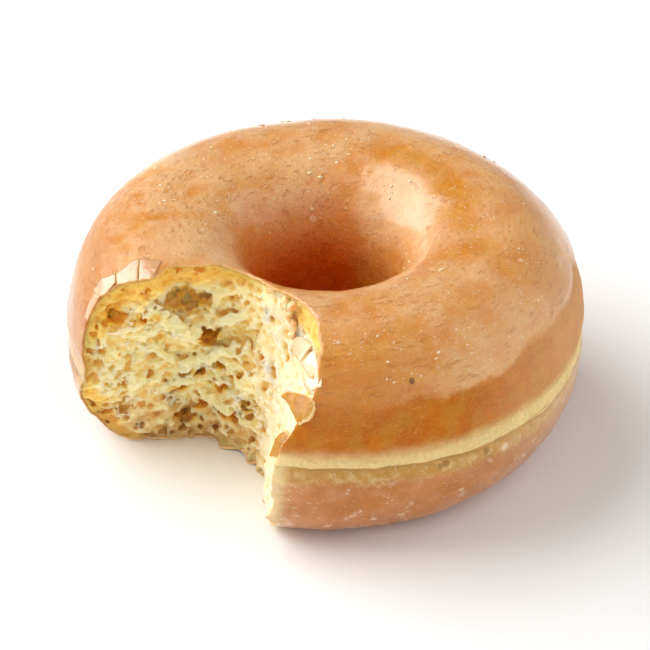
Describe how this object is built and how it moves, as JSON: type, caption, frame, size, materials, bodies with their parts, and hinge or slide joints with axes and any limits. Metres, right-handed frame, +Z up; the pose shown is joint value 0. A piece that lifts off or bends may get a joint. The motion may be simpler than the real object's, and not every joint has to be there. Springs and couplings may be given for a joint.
{
  "type": "bitten ring doughnut",
  "caption": "Glazed ring doughnut of yeast dough with one bite taken out, showing its open crumb, lying on its flat base.",
  "frame": {"origin": "middle of the bounding box's underside, on the surface it lies on, under the hole", "axes": "+Z up through the hole, +Y away from the bitten side, +X to the right when looking at the bite"},
  "size_m": [0.095, 0.095, 0.0418],
  "materials": {
    "glazed_crust": "fried golden-brown crust under a thin, glossy, hazy sugar glaze",
    "crumb": "soft, torn, pale yellow open crumb",
    "sugar_glaze": "set, cracked, see-through sugar glaze, shiny"
  },
  "bodies": {
    "root": {"doughnut": "glazed_crust"}
  },
  "joints": []
}
